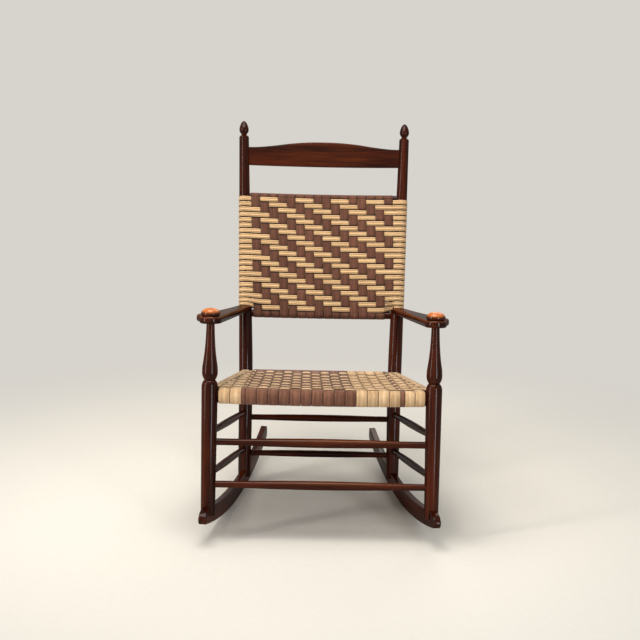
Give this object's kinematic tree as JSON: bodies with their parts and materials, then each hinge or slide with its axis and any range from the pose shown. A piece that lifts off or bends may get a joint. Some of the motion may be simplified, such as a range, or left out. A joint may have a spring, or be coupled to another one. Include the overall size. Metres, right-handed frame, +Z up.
{
  "type": "rocking chair",
  "caption": "Armed rocking chair of dark stained hickory with turned posts, mushroom caps, acorn finials, curved rockers, and a seat and back woven of brown and beige tape.",
  "frame": {"origin": "on the floor, under the middle of the whole chair's outline, with the chair at the lean at which it comes to rest on its rockers", "axes": "+Z up, +X to the right as seen by someone who faces the chair, +Y towards the back of the chair"},
  "size_m": [0.6384, 0.793, 1.0067],
  "materials": {
    "stained_hickory": "satin",
    "brown_tape": "matte",
    "seat_beige_tape": "matte",
    "back_beige_tape": "matte",
    "foam_pad": "matte"
  },
  "bodies": {
    "root": {"arm_left": "stained_hickory", "arm_right": "stained_hickory", "back_padding": "foam_pad", "back_rail_bottom": "stained_hickory", "back_rail_top": "stained_hickory", "back_warps": "brown_tape", "back_wefts": "back_beige_tape", "front_post_left": "stained_hickory", "front_post_right": "stained_hickory", "front_rung_lower": "stained_hickory", "front_rung_upper": "stained_hickory", "left_side_rung_lower": "stained_hickory", "left_side_rung_upper": "stained_hickory", "mushroom_caps": "stained_hickory", "rear_post_left": "stained_hickory", "rear_post_right": "stained_hickory", "rear_rung_lower": "stained_hickory", "rear_rung_upper": "stained_hickory", "right_side_rung_lower": "stained_hickory", "right_side_rung_upper": "stained_hickory", "rocker_left": "stained_hickory", "rocker_pegs": "stained_hickory", "rocker_right": "stained_hickory", "seat_padding": "foam_pad", "seat_rail_front": "stained_hickory", "seat_rail_left": "stained_hickory", "seat_rail_rear": "stained_hickory", "seat_rail_right": "stained_hickory", "seat_warps_beige": "seat_beige_tape", "seat_warps_brown": "brown_tape", "seat_wefts": "seat_beige_tape", "slat_pins": "stained_hickory", "top_slat": "stained_hickory"}
  },
  "joints": []
}
